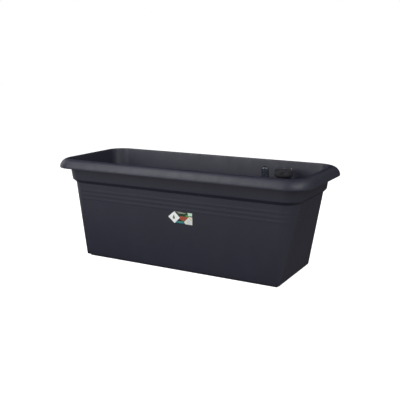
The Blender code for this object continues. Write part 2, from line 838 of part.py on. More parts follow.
def make_gauge_window(frame, material):
    """Clear domed cap that plugs into the top of the gauge tube, open at the bottom."""
    base = GAUGE_TOP_Z + GAP
    inner = GAUGE_RADIUS - WINDOW_WALL
    spigot_inner = WINDOW_SPIGOT_RADIUS - WINDOW_WALL
    profile = [
        (spigot_inner, base - WINDOW_SPIGOT_DROP),
        (WINDOW_SPIGOT_RADIUS, base - WINDOW_SPIGOT_DROP),
        (WINDOW_SPIGOT_RADIUS, base),
        (GAUGE_RADIUS, base),
    ]
    shoulder = WINDOW_TOP_Z - WINDOW_DOME
    for step in range(DOME_STEPS):
        angle = math.pi / 2 * step / DOME_STEPS
        height = shoulder + WINDOW_DOME * math.sin(angle)
        profile.append((GAUGE_RADIUS * math.cos(angle), height))
    profile.append((0, WINDOW_TOP_Z))
    profile.append((0, WINDOW_TOP_Z - WINDOW_WALL))
    for step in reversed(range(DOME_STEPS)):
        angle = math.pi / 2 * step / DOME_STEPS
        height = shoulder + (WINDOW_DOME - WINDOW_WALL) * math.sin(angle)
        profile.append((inner * math.cos(angle), height))
    profile.append((spigot_inner, base + WINDOW_WALL))
    from_axis = profile.index((0, WINDOW_TOP_Z)) + 1
    bm = bmesh.new()
    add_turned(bm, profile[from_axis:] + profile[:from_axis], TUBE_SEGMENTS)
    make_object("gauge_window", bm, material, frame)


def make_float(frame, material):
    low = FLOAT_LOW_Z
    high = FLOAT_LOW_Z + FLOAT_LENGTH
    profile = [
        (0, low),
        (FLOAT_RADIUS - FLOAT_BEVEL, low),
        (FLOAT_RADIUS, low + FLOAT_BEVEL),
        (FLOAT_RADIUS, high - FLOAT_BEVEL),
        (FLOAT_RADIUS - FLOAT_BEVEL, high),
        (0, high),
    ]
    bm = bmesh.new()
    add_turned(bm, profile, TUBE_SEGMENTS)
    make_object("float", bm, material, frame)


def make_gauge_rod(frame, material):
    bm = bmesh.new()
    low = FLOAT_LOW_Z + FLOAT_LENGTH + GAP
    add_cylinder(bm, ROD_RADIUS, low, MARKER_LOW_Z - GAP, 10)
    make_object("gauge_rod", bm, material, frame)


def make_marker(frame, material):
    low = MARKER_LOW_Z
    high = MARKER_LOW_Z + MARKER_LENGTH
    edge = 0.001
    profile = [
        (0, low),
        (MARKER_RADIUS - edge, low),
        (MARKER_RADIUS, low + edge),
        (MARKER_RADIUS, high - edge),
        (MARKER_RADIUS - edge, high),
        (0, high),
    ]
    bm = bmesh.new()
    add_turned(bm, profile, 16)
    make_object("gauge_marker", bm, material, frame)


# Sticker


def make_tag(material):
    """A thin sticker parallel to the front wall, a gap clear of it."""
    lean = math.atan2(
        wall_section(STEP_LOW_Z)[1] - wall_section(FOOT_Z)[1], STEP_LOW_Z - FOOT_Z
    )
    half = TAG_HEIGHT / 2
    shoulder = TAG_TIP_X + TAG_POINT
    end = TAG_TIP_X + TAG_LENGTH
    outline = [(TAG_TIP_X, 0), (shoulder, -half), (end, -half), (end, half), (shoulder, half)]
    bm = bmesh.new()
    add_prism(bm, outline, GAP, GAP + TAG_THICKNESS)
    tag = make_object("front_tag", bm, material)
    tag.location = Vector((0, -wall_section(TAG_MIDDLE_Z)[1], TAG_MIDDLE_Z))
    tag.rotation_euler = (math.pi / 2 + lean, 0, 0)


def main():
    clear_scene()
    materials = {name: make_material(name) for name in MATERIALS}
    make_trough(materials["trough_plastic"])
    make_tag(materials["tag_paper"])
    make_ports(materials["plug_plastic"], materials["seal_rubber"])
    leg = leg_mesh()
    leg.materials.append(materials["insert_plastic"])
    for word, side in (("left", -1), ("right", 1)):
        make_deck(f"{word}_deck", side, materials["insert_plastic"])
        make_deck_fittings(word, side, materials["insert_plastic"], leg)
    make_fill_tube(materials["tube_plastic"])
    hinge = make_empty("lid_hinge_axis", (FILL_X, HINGE_Y, HINGE_Z))
    make_lid(hinge, materials["tube_plastic"])
    make_pin(hinge, materials["steel"])
    gauge = make_empty("gauge_axis", (GAUGE_X, GAUGE_Y, 0))
    make_gauge_tube(gauge, materials["tube_plastic"])
    make_gauge_window(gauge, materials["clear_plastic"])
    make_float(gauge, materials["float_foam"])
    make_gauge_rod(gauge, materials["steel"])
    make_marker(gauge, materials["marker_red"])


main()
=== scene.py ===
"""Looks of the self-watering trough planter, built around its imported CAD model.

Metres, +Z up, in the CAD's frame: +X along the planter, -Y is the front. The trough, sticker, plugs,
seals, filling tube, lid and gauge get finer meshes here, and the decks, wells and legs keep their CAD
meshes with rounded edges. Every surface has its own procedural material.
"""

import json
import math

import bmesh
import bpy
from mathutils import Matrix, Vector

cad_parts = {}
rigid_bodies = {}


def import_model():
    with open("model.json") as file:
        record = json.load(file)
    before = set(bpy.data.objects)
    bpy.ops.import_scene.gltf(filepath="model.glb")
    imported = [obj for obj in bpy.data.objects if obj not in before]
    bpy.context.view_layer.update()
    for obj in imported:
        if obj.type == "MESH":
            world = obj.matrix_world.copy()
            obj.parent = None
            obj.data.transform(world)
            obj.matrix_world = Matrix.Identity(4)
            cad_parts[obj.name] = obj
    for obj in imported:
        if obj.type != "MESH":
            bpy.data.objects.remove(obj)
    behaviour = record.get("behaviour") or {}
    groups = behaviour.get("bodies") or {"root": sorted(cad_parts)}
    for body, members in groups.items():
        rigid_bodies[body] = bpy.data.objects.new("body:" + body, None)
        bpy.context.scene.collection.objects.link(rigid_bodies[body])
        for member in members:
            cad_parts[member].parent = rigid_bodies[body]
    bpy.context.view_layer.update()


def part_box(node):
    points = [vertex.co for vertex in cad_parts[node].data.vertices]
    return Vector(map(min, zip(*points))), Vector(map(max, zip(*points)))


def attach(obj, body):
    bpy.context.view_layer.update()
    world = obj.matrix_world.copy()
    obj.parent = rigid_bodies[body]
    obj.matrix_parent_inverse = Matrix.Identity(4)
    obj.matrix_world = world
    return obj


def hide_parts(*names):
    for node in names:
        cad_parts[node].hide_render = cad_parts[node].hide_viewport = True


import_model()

# Trough, from its CAD box and the CAD's own dimensions
TROUGH_LOW, TROUGH_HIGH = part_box("trough")
HALF_LENGTH = TROUGH_HIGH.x
HALF_DEPTH = TROUGH_HIGH.y
HEIGHT = TROUGH_HIGH.z
WALL = 0.0028
RIM_DROP = 0.0255
RIM_WIDTH = 0.0244
RIM_SKIN = 0.0024
RIM_CORNER = 0.064
LIP_Z = HEIGHT - RIM_DROP
LIP_EDGE = 0.0006
FOOT_Z = 0.0045
STEP_LOW_Z = 0.2252
STEP_HIGH_Z = 0.2340
WALL_LEVELS = (
    (FOOT_Z, 0.0825, 0.0510, 0.0040),
    (STEP_LOW_Z, 0.0385, 0.0385, 0.0460),
    (STEP_HIGH_Z, 0.0311, 0.0311, 0.0465),
    (LIP_Z, 0.0271, 0.0271, 0.0470),
)
LEAST_CORNER = 0.0025
EDGE_SOFTNESS = 0.0009
CORNER_STEPS = 16
LONG_STEPS = 22
SHORT_STEPS = 9
RIB_TOP_Z = 0.2044
RIB_PITCH = 0.0124
RIB_WIDTH = 0.0112
RIB_HEIGHT = 0.0003
RIB_COUNT = 3
BASE_FILLET = 0.0035
FOOT_INSET = 0.0075
FOOT_WIDTH = 0.0050
RECESS_Z = 0.0035
FLOOR_Z = 0.0070
FLOOR_FILLET = 0.0060
BOW = 0.0006
BOW_TOP_Z = 0.2640

# Ports in the back wall
BOSS_RADIUS = 0.0130
BOSS_PROUD = 0.0030
PORT_RADIUS = 0.0085
OVERFLOW_Z = 0.0500
DRAIN_Z = 0.0225
PORTS = (
    ("overflow_left", -0.200, OVERFLOW_Z),
    ("overflow_right", 0.200, OVERFLOW_Z),
    ("drain", 0.0, DRAIN_Z),
)

# Plugs and seals, measured from the boss outward
GAP = 0.0003
SEAL_RADIUS = 0.0115
SEAL_THICKNESS = 0.0020
PLUG_HEAD_RADIUS = 0.0125
PLUG_HEAD = 0.0040
PLUG_SHANK_RADIUS = 0.0076
PLUG_SHANK = 0.0120
PLUG_GRIP = (0.0180, 0.0055, 0.0030)

# Filling tube and its lid
DECK_TOP_Z = 0.0725
COLLAR = 0.0025
TUBE_LOW_Z = 0.0110
NOTCH_TOP_Z = 0.0250
FILL_X = 0.2450
FILL_Y = 0.0720
FILL_RADIUS = 0.0170
FILL_WALL = 0.0020
FILL_MOUTH_RADIUS = 0.0270
FILL_FLARE_Z = 0.2500
FILL_MOUTH_Z = 0.2680
FILL_TOP_Z = 0.2760
FILL_COLLAR_RADIUS = 0.0240
FILL_NOTCH = 0.0060
HINGE_Y = 0.1035
HINGE_Z = 0.2788
LID_RADIUS = 0.0273
LID_THICKNESS = 0.0026
LID_RING_RADIUS = 0.0234
LID_RING_WALL = 0.0016
LID_RING_DROP = 0.0045
LID_TAB = (0.0140, 0.0065)
NECK_WIDTH = 0.0100
KNUCKLE_RADIUS = 0.0030
PIN_RADIUS = 0.0014
PIN_HEAD_RADIUS = 0.0026
PIN_HEAD = 0.0010
PIN_BORE_RADIUS = 0.0019
EAR_INNER_X = 0.0060
EAR_OUTER_X = 0.0092
EAR_DROP = 0.0150

# Float gauge
GAUGE_X = 0.1850
GAUGE_Y = 0.0800
GAUGE_RADIUS = 0.0110
GAUGE_WALL = 0.0018
GAUGE_COLLAR_RADIUS = 0.0160
GAUGE_LIP_RADIUS = 0.0065
GAUGE_TOP_Z = 0.2380
GAUGE_NOTCH = 0.0030
WINDOW_TOP_Z = 0.2850
WINDOW_WALL = 0.0016
WINDOW_DOME = 0.0060
WINDOW_SPIGOT_RADIUS = 0.0087
WINDOW_SPIGOT_DROP = 0.0080
FLOAT_RADIUS = 0.0080
FLOAT_LENGTH = 0.0300
FLOAT_LOW_Z = 0.0131
ROD_RADIUS = 0.0012
MARKER_RADIUS = 0.0050
MARKER_LENGTH = 0.0070
MARKER_LOW_Z = 0.2400

# Sticker on the front wall: a square-ended tag with a pointed left end
TAG_TIP_X = -0.0155
TAG_LENGTH = 0.0760
TAG_POINT = 0.0195
TAG_HEIGHT = 0.0330
TAG_THICKNESS = 0.0004
TAG_MIDDLE_Z = 0.1578

# Camera and light
CAMERA_TARGET = Vector((0.028, -0.020, 0.189))
CAMERA_AZIMUTH = math.radians(28.92)
CAMERA_ELEVATION = math.radians(12.12)
CAMERA_DISTANCE = 1.8790
CAMERA_LENS = 59.17
LIGHT_TARGET = Vector((0.0, 0.0, 0.2))
# Name, degrees round from the front, degrees up, metres away, metres across, watts
LIGHTS = (
    ("key", -30, 20, 1.8, 1.0, 13.5),
    ("key_high", -30, 50, 1.8, 1.0, 3.5),
    ("rim_near", -34, 50, 0.85, 0.4, 1.0),
    ("front_fill", 0, 20, 1.8, 1.0, 2.2),
    ("right_fill", 60, 30, 1.8, 1.0, 11.0),
    ("right_high", 90, 50, 1.8, 1.0, 4.4),
    ("left_high", -60, 50, 1.8, 1.0, 4.0),
    ("left_top", -60, 70, 1.8, 1.0, 3.5),
    ("back_rim", 150, 40, 1.8, 1.0, 0.9),
    ("back_fill", 200, -2, 1.2, 0.35, 3.5),
    ("left_fill", -100, 8, 1.8, 1.0, 5.0),
)
# Panels that lie on the floor round the planter, as a white table top would reflect:
# name, place, metres along X and Y, watts
TABLE_GLOWS = (
    ("table_glow_front", (-0.25, -1.00, 0.004), (1.8, 1.0), 2.4),
    ("table_glow_back", (-0.35, 1.00, 0.004), (1.2, 1.0), 2.4),
    ("table_glow_left", (-1.20, 0.00, 0.004), (1.0, 1.0), 1.5),
)
# Axis, where the glow starts and ends along it, and its strength
GLOWS = (
    ("X", 0.1, 0.9, 0.35),
    ("Y", -0.1, -0.9, 0.20),
    ("Z", -0.1, -0.9, 0.08),
)


# Mesh helpers

SHARP_ANGLE = math.radians(35)


def loft(bm, rings):
    """Skin over rings of equal length, listed up the outside of the shape, with both ends capped."""
    loops = [[bm.verts.new(point) for point in ring] for ring in rings]
    for low, high in zip(loops, loops[1:]):
        for here in range(len(low)):
            there = (here + 1) % len(low)
            bm.faces.new((low[here], low[there], high[there], high[here]))
    bm.faces.new(list(reversed(loops[0])))
    bm.faces.new(loops[-1])


def add_object(name, bm, material, body):
    mesh = bpy.data.meshes.new(name)
    bm.to_mesh(mesh)
    bm.free()
    mesh.shade_smooth()
    mesh.set_sharp_from_angle(angle=SHARP_ANGLE)
    obj = bpy.data.objects.new(name, mesh)
    obj.data.materials.append(material)
    bpy.context.scene.collection.objects.link(obj)
    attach(obj, body)
    return obj


# Trough


def line_points(start, end, count):
    """Points from start up to, but not including, end."""
    return [start + (end - start) * step / count for step in range(count)]


def bowed(point):
    """Moulded walls are never quite flat: the long ones bow outward a little at mid height."""
    x, y, z = point
    if not 0.0 < z < BOW_TOP_Z:
        return point
    along = max(0.0, math.cos(math.pi * x / (2 * HALF_LENGTH)))
    out = BOW * along**2 * math.sin(math.pi * z / BOW_TOP_Z) * min(1.0, abs(y) / 0.08)
    return (x, y + math.copysign(out, y), z)


def rounded_rectangle(height, half_length, half_depth, radius):
    """Anticlockwise ring with fine corners and points along its straight sides."""
    points = []
    centre_x = half_length - radius
    centre_y = half_depth - radius
    corners = ((1, 1), (-1, 1), (-1, -1), (1, -1))
    for index, (side_x, side_y) in enumerate(corners):
        for step in range(CORNER_STEPS):
            angle = math.pi / 2 * (index + step / CORNER_STEPS)
            x = side_x * centre_x + radius * math.cos(angle)
            y = side_y * centre_y + radius * math.sin(angle)
            points.append(Vector((x, y, height)))
        angle = math.pi / 2 * (index + 1)
        start = Vector((side_x * centre_x + radius * math.cos(angle), 0, height))
        start.y = side_y * centre_y + radius * math.sin(angle)
        next_x, next_y = corners[(index + 1) % 4]
        end = Vector((next_x * centre_x + radius * math.cos(angle), 0, height))
        end.y = next_y * centre_y + radius * math.sin(angle)
        steps = LONG_STEPS if index % 2 == 0 else SHORT_STEPS
        points += line_points(start, end, steps)
    return [bowed(point) for point in points]


def sharp_section(height):
    """Inset along X and Y and corner radius of the outer wall, between its levels."""
    pairs = list(zip(WALL_LEVELS, WALL_LEVELS[1:]))
    low, high = next((pair for pair in pairs if height <= pair[1][0]), pairs[-1])
    share = (height - low[0]) / (high[0] - low[0])
    return [a + share * (b - a) for a, b in zip(low[1:], high[1:])]


def wall_ring(height, inward=0.0):
    """Ring of the wall. Averaging nearby heights rounds the edges of the step."""
    offsets = [EDGE_SOFTNESS * (step - 2) / 2 for step in range(5)]
    sections = [sharp_section(height + offset) for offset in offsets]
    inset_x, inset_y, radius = (sum(values) / len(values) for values in zip(*sections))
    half_length = HALF_LENGTH - inset_x - inward
    half_depth = HALF_DEPTH - inset_y - inward
    return rounded_rectangle(height, half_length, half_depth, max(radius - inward, LEAST_CORNER))


def rim_ring(angle, skin, inset_more=0.0):
    """Ring of the rolled rim, an angle down from its top, a skin's thickness inside its surface."""
    inset = RIM_WIDTH - (RIM_WIDTH - skin) * math.sin(angle) + inset_more
    height = LIP_Z + (RIM_DROP - skin) * math.cos(angle)
    radius = RIM_CORNER - inset * (RIM_CORNER - WALL_LEVELS[-1][3]) / RIM_WIDTH
    return rounded_rectangle(height, HALF_LENGTH - inset, HALF_DEPTH - inset, radius)


def foot_ring(height, inset):
    inset_x, inset_y, radius = sharp_section(FOOT_Z)
    half_length = HALF_LENGTH - inset_x - inset
    half_depth = HALF_DEPTH - inset_y - inset
    return rounded_rectangle(height, half_length, half_depth, max(radius - inset, LEAST_CORNER))


def base_rings():
    """Recess, foot and base fillet, with the foot's edges eased."""
    inner = FOOT_INSET + FOOT_WIDTH
    ease = 0.0006
    rings = [
        foot_ring(RECESS_Z, inner + ease),
        foot_ring(RECESS_Z - ease, inner),
        foot_ring(ease, inner),
        foot_ring(0.0, inner - ease),
        foot_ring(0.0, FOOT_INSET + ease),
        foot_ring(ease, FOOT_INSET),
        foot_ring(FOOT_Z - ease, FOOT_INSET),
        foot_ring(FOOT_Z, FOOT_INSET - ease),
    ]
    for step in range(6):
        angle = math.pi / 2 * step / 5
        inward = BASE_FILLET * (1 - math.sin(angle))
        rings.append(wall_ring(FOOT_Z + BASE_FILLET * (1 - math.cos(angle)), inward))
    return rings


def lower_wall_rings():
    first = FOOT_Z + BASE_FILLET
    last = RIB_TOP_Z - (RIB_COUNT - 1) * RIB_PITCH - RIB_WIDTH / 2
    return [wall_ring(first + (last - first) * step / 14) for step in range(1, 14)]


def rib_rings():
    """Rounded ribs, each a raised cosine, from the lowest up."""
    rings = []
    for rib in reversed(range(RIB_COUNT)):
        middle = RIB_TOP_Z - rib * RIB_PITCH
        for step in range(-6, 7):
            share = step / 6
            out = RIB_HEIGHT * (1 + math.cos(math.pi * share)) / 2
            rings.append(wall_ring(middle + share * RIB_WIDTH / 2, -out))
    return rings


def band_rings():
    """Step and band, from above the ribs to the inside of the rim."""
    low = STEP_LOW_Z - 2 * EDGE_SOFTNESS
    high = STEP_HIGH_Z + 2 * EDGE_SOFTNESS
    rings = [wall_ring(low + (high - low) * step / 18) for step in range(19)]
    top = HEIGHT - RIM_SKIN - 0.003
    rings += [wall_ring(high + (top - high) * step / 5) for step in range(1, 6)]
    return rings


def rim_rings():
    under = [rim_ring(math.pi / 2 * step / 12, RIM_SKIN) for step in range(2, 13)]
    lip = [
        rim_ring(math.pi / 2, RIM_SKIN, inset_more=-LIP_EDGE),
        rim_ring(math.pi / 2, 0.0, inset_more=LIP_EDGE),
    ]
    over = [rim_ring(math.pi / 2 * step / 18, 0.0) for step in range(17, -1, -1)]
    return under + lip + over


def inner_rings():
    rings = []
    for step in range(1, 6):
        angle = math.pi / 2 * step / 5
        drop = WALL * (1 - math.cos(angle))
        rings.append(wall_ring(HEIGHT - drop, WALL * math.sin(angle)))
    heights = [HEIGHT - 0.006, LIP_Z, STEP_HIGH_Z + 0.012]
    low = STEP_LOW_Z - 2 * EDGE_SOFTNESS
    high = STEP_HIGH_Z + 2 * EDGE_SOFTNESS
    heights += [high + (low - high) * step / 10 for step in range(11)]
    floor_edge = FLOOR_Z + FLOOR_FILLET
    heights += [low + (floor_edge - low) * step / 12 for step in range(1, 12)]
    rings += [wall_ring(height, WALL) for height in heights]
    for step in range(6):
        angle = math.pi / 2 * step / 5
        height = FLOOR_Z + FLOOR_FILLET * (1 - math.sin(angle))
        rings.append(wall_ring(height, WALL + FLOOR_FILLET * (1 - math.cos(angle))))
    return rings


def back_wall_y(height):
    return HALF_DEPTH - sharp_section(height)[1]


def turned(bm, profile, segments, closed=False):
    """Turn (radius, height) points about Z. The profile runs up the outside of the section."""
    angles = [2 * math.pi * step / segments for step in range(segments)]
    rings = []
    for radius, height in profile:
        if radius == 0:
            rings.append([bm.verts.new((0, 0, height))] * segments)
        else:
            points = [(radius * math.cos(a), radius * math.sin(a), height) for a in angles]
            rings.append([bm.verts.new(point) for point in points])
    pairs = list(zip(rings, rings[1:]))
    if closed:
        pairs.append((rings[-1], rings[0]))
    for low, high in pairs:
        for here in range(segments):
            there = (here + 1) % segments
            corners = (low[here], low[there], high[there], high[here])
            bm.faces.new(list(dict.fromkeys(corners)))


def placed(bm, matrix, add, *shape, **options):
    """Add a shape and move only its own vertices by a matrix."""
    before = set(bm.verts)
    add(bm, *shape, **options)
    bmesh.ops.transform(bm, matrix=matrix, verts=[v for v in bm.verts if v not in before])


def port_matrix(x, z, off_wall=0.0):
    """Lays a shape turned about Z along +Y, with its zero on the back wall's outer face."""
    place = Matrix.Translation((x, back_wall_y(z) + off_wall, z))
    return place @ Matrix.Rotation(-math.pi / 2, 4, "X")


def boss_profile():
    """Round boss with a fillet into the wall and an eased edge."""
    fillet = 0.0015
    profile = [(0, -WALL / 2), (BOSS_RADIUS + fillet, -WALL / 2)]
    for step in range(6):
        angle = math.pi / 2 * step / 5
        radius = BOSS_RADIUS + fillet * (1 - math.sin(angle))
        profile.append((radius, fillet * (1 - math.cos(angle)) + 0.0002))
    ease = 0.0006
    profile += [(BOSS_RADIUS, BOSS_PROUD - ease), (BOSS_RADIUS - ease, BOSS_PROUD)]
    return profile + [(0, BOSS_PROUD)]


def apply_boolean(obj, bm, operation):
    mesh = bpy.data.meshes.new("tool")
    bm.to_mesh(mesh)
    bm.free()
    tool = bpy.data.objects.new("tool", mesh)
    bpy.context.scene.collection.objects.link(tool)
    modifier = obj.modifiers.new("boolean", "BOOLEAN")
    modifier.operation = operation
    modifier.solver = "EXACT"
    modifier.object = tool
    apply_modifiers(obj)
    bpy.data.objects.remove(tool)


def apply_modifiers(obj):
    graph = bpy.context.evaluated_depsgraph_get()
    mesh = bpy.data.meshes.new_from_object(obj.evaluated_get(graph))
    obj.modifiers.clear()
    obj.data = mesh


def make_trough(material):
    bm = bmesh.new()
    rings = base_rings() + lower_wall_rings() + rib_rings() + band_rings()
    loft(bm, rings + rim_rings() + inner_rings())
    trough = add_object("trough_moulding", bm, material, "trough")
    bosses = bmesh.new()
    holes = bmesh.new()
    hole = [(0, -4 * WALL), (PORT_RADIUS, -4 * WALL), (PORT_RADIUS, 0.01), (0, 0.01)]
    for _, x, z in PORTS:
        placed(bosses, port_matrix(x, z), turned, boss_profile(), 48)
        placed(holes, port_matrix(x, z), turned, hole, 48)
    apply_boolean(trough, bosses, "UNION")
    apply_boolean(trough, holes, "DIFFERENCE")
    trough.data.set_sharp_from_angle(angle=SHARP_ANGLE)
    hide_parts("trough")


def soften(obj, width=0.0005, segments=3, angle=30):
    """Rounds a piece's edges and keeps its flat faces flat."""
    bevel = obj.modifiers.new("soft_edges", "BEVEL")
    bevel.width = width
    bevel.segments = segments
    bevel.limit_method = "ANGLE"
    bevel.angle_limit = math.radians(angle)
    bevel.harden_normals = True
    obj.data.shade_smooth()


def turned_piece(name, profile, material, body, place=None, segments=64, closed=False):
    bm = bmesh.new()
    placed(bm, place or Matrix(), turned, profile, segments, closed=closed)
    return add_object(name, bm, material, body)


def box(bm, low, high):
    corners = [(low[0], low[1]), (high[0], low[1]), (high[0], high[1]), (low[0], high[1])]
    loft(bm, [[(x, y, z) for x, y in corners] for z in (low[2], high[2])])


def prism(bm, outline, low, high):
    loft(bm, [[(x, y, z) for x, y in outline] for z in (low, high)])


# Plugs and seals


def knurled_ring(radius, height, ribs=24, depth=0.0005):
    points = []
    for step in range(ribs * 6):
        angle = 2 * math.pi * step / (ribs * 6)
        reach = radius - depth * (1 + math.cos(ribs * angle)) / 2
        points.append((reach * math.cos(angle), reach * math.sin(angle), height))
    return points


def shank_profile(head):
    """Shank with a lead-in at its tip and two low sealing rings, up to the plug's head."""
    tip = head - PLUG_SHANK
    core = PLUG_SHANK_RADIUS - 0.0002
    profile = [(0, tip), (PLUG_SHANK_RADIUS - 0.0014, tip), (core, tip + 0.0016)]
    for ring in range(2):
        low = tip + 0.0034 + 0.0026 * ring
        profile += [(core, low), (PLUG_SHANK_RADIUS, low + 0.0004)]
        profile += [(PLUG_SHANK_RADIUS, low + 0.0010), (core, low + 0.0014)]
    return profile + [(core, head + 0.001), (0, head + 0.001)]


def make_plug(name, place, material):
    head = SEAL_THICKNESS + 2 * GAP
    top = head + PLUG_HEAD
    bm = bmesh.new()
    rings = [
        knurled_ring(PLUG_HEAD_RADIUS - 0.0006, head),
        knurled_ring(PLUG_HEAD_RADIUS, head + 0.0006),
        knurled_ring(PLUG_HEAD_RADIUS, top - 0.0012),
        knurled_ring(PLUG_HEAD_RADIUS - 0.0012, top, depth=0),
    ]
    loft(bm, rings)
    plug = add_object(f"{name}_plug_moulding", bm, material, f"{name}_plug")
    shank = bmesh.new()
    turned(shank, shank_profile(head), 48)
    apply_boolean(plug, shank, "UNION")
    length, height, width = PLUG_GRIP
    grip = bmesh.new()
    box(grip, (-length / 2, -width / 2, head + 0.002), (length / 2, width / 2, top + height))
    bmesh.ops.bevel(grip, geom=grip.edges, offset=0.0012, segments=4, affect="EDGES", profile=0.5)
    apply_boolean(plug, grip, "UNION")
    plug.data.transform(place)
    plug.data.shade_smooth()
    plug.data.set_sharp_from_angle(angle=math.radians(40))
    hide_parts(f"{name}_plug")


def make_seal(name, place, material):
    """Flat ring with rounded faces, squeezed between the boss and the plug's head."""
    inner = PLUG_SHANK_RADIUS + GAP
    middle = (SEAL_RADIUS + inner) / 2
    half_width = (SEAL_RADIUS - inner) / 2
    profile = []
    for step in range(20):
        angle = 2 * math.pi * step / 20
        c, s = math.cos(angle), math.sin(angle)
        across = math.copysign(abs(c) ** 0.5, c) * half_width
        along = math.copysign(abs(s) ** 0.5, s) * SEAL_THICKNESS / 2
        profile.append((middle + across, GAP + SEAL_THICKNESS / 2 + along))
    seal = turned_piece(
        f"{name}_seal_ring", profile, material, f"{name}_plug", place, closed=True
    )
    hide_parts(f"{name}_seal")


def make_ports(plug_material, seal_material):
    for name, x, z in PORTS:
        place = port_matrix(x, z, BOSS_PROUD)
        make_seal(name, place, seal_material)
        make_plug(name, place, plug_material)


# Filling tube and lid


def arc_points(centre, radius, start, end, steps):
    angles = [math.radians(start + (end - start) * step / steps) for step in range(steps + 1)]
    return [(centre[0] + radius * math.cos(a), centre[1] + radius * math.sin(a)) for a in angles]


def flare(offset):
    """S-shaped flare from the tube to the mouth, set in by an offset."""
    points = []
    for step in range(13):
        share = step / 12
        ease = (1 - math.cos(math.pi * share)) / 2
        radius = FILL_RADIUS + (FILL_MOUTH_RADIUS - FILL_RADIUS) * ease - offset
        points.append((radius, FILL_FLARE_Z + (FILL_MOUTH_Z - FILL_FLARE_Z) * share))
    return points


def fill_tube_profile():
    seat = DECK_TOP_Z + GAP
    lip = FILL_WALL / 2
    profile = [(FILL_RADIUS, TUBE_LOW_Z), (FILL_RADIUS, seat)]
    profile += [(FILL_COLLAR_RADIUS - 0.0004, seat), (FILL_COLLAR_RADIUS, seat + 0.0004)]
    profile += arc_points((FILL_COLLAR_RADIUS - 0.0008, seat + COLLAR - 0.0008), 0.0008, 0, 90, 4)
    profile += arc_points((FILL_RADIUS + 0.0015, seat + COLLAR + 0.0015), 0.0015, 270, 180, 4)
    profile += flare(0)
    profile += arc_points((FILL_MOUTH_RADIUS - lip, FILL_TOP_Z - lip), lip, 0, 180, 10)
    profile += reversed(flare(FILL_WALL))
    profile.append((FILL_RADIUS - FILL_WALL, TUBE_LOW_Z))
    return profile


def notch_tools(radius, width, low_z):
    """Four water gaps through the wall near the foot of a tube."""
    bm = bmesh.new()
    for index in range(4):
        turn = Matrix.Rotation(math.pi / 2 * (index + 0.5), 4, "Z")
        placed(bm, turn, box, (radius * 0.7, -width / 2, low_z), (radius * 1.3, width / 2, NOTCH_TOP_Z))
    return bm


def cylinder_along_x(radius, half_length, y, z, segments=32):
    bm = bmesh.new()
    place = Matrix.Translation((0, y, z)) @ Matrix.Rotation(math.pi / 2, 4, "Y")
    profile = [(0, -half_length), (radius, -half_length), (radius, half_length), (0, half_length)]
    placed(bm, place, turned, profile, segments)
    return bm


def ear_tool(side):
    """One hinge ear: an upright lug behind the mouth, rounded about the hinge."""
    inner = FILL_MOUTH_RADIUS - FILL_WALL / 2
    hinge = HINGE_Y - FILL_Y
    back = hinge + KNUCKLE_RADIUS
    ledge = FILL_TOP_Z - GAP
    side_on = [(inner, FILL_TOP_Z - EAR_DROP), (back, FILL_TOP_Z - EAR_DROP + 0.005)]
    side_on += arc_points((hinge, HINGE_Z), KNUCKLE_RADIUS, 0, 180, 16)
    side_on += [(hinge - KNUCKLE_RADIUS, ledge), (inner, ledge)]
    bm = bmesh.new()
    span = sorted((side * EAR_INNER_X, side * EAR_OUTER_X))
    loft(bm, [[(x, y, z) for y, z in side_on] for x in span])
    return bm


def make_fill_tube(material):
    profile = fill_tube_profile()
    tube = turned_piece(
        "fill_tube_moulding", profile, material, "right_deck", closed=True
    )
    apply_boolean(tube, notch_tools(FILL_RADIUS, FILL_NOTCH, TUBE_LOW_Z - 0.001), "DIFFERENCE")
    for side in (-1, 1):
        apply_boolean(tube, ear_tool(side), "UNION")
    bore = cylinder_along_x(PIN_BORE_RADIUS, EAR_OUTER_X + 0.001, HINGE_Y - FILL_Y, HINGE_Z)
    apply_boolean(tube, bore, "DIFFERENCE")
    tube.data.transform(Matrix.Translation((FILL_X, FILL_Y, 0)))
    tube.data.set_sharp_from_angle(angle=SHARP_ANGLE)
    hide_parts("fill_tube")


def lid_outline():
    """Disc with a finger tab at the front and a neck at the back, about the hinge axis."""
    middle = FILL_Y - HINGE_Y
    tab_width, tab_reach = LID_TAB
    half_tab = math.degrees(math.asin(tab_width / 2 / LID_RADIUS))
    half_neck = math.degrees(math.asin(NECK_WIDTH / 2 / LID_RADIUS))
    corner = 0.003
    tip = middle - LID_RADIUS - tab_reach
    outline = [(-NECK_WIDTH / 2, 0.0)]
    outline += arc_points((0, middle), LID_RADIUS, 90 + half_neck, 270 - half_tab, 36)
    outline += arc_points((-tab_width / 2 + corner, tip + corner), corner, 180, 270, 6)
    outline += arc_points((tab_width / 2 - corner, tip + corner), corner, 270, 360, 6)
    outline += arc_points((0, middle), LID_RADIUS, -90 + half_tab, 90 - half_neck, 36)
    outline.append((NECK_WIDTH / 2, 0.0))
    return outline


def drop_outline(radius, point, steps=24):
    """Plain water drop: a round foot drawn out to a point at the top."""
    lean = math.degrees(math.asin(radius / point))
    return arc_points((0, 0), radius, 180 - lean, 360 + lean, steps) + [(0, point)]


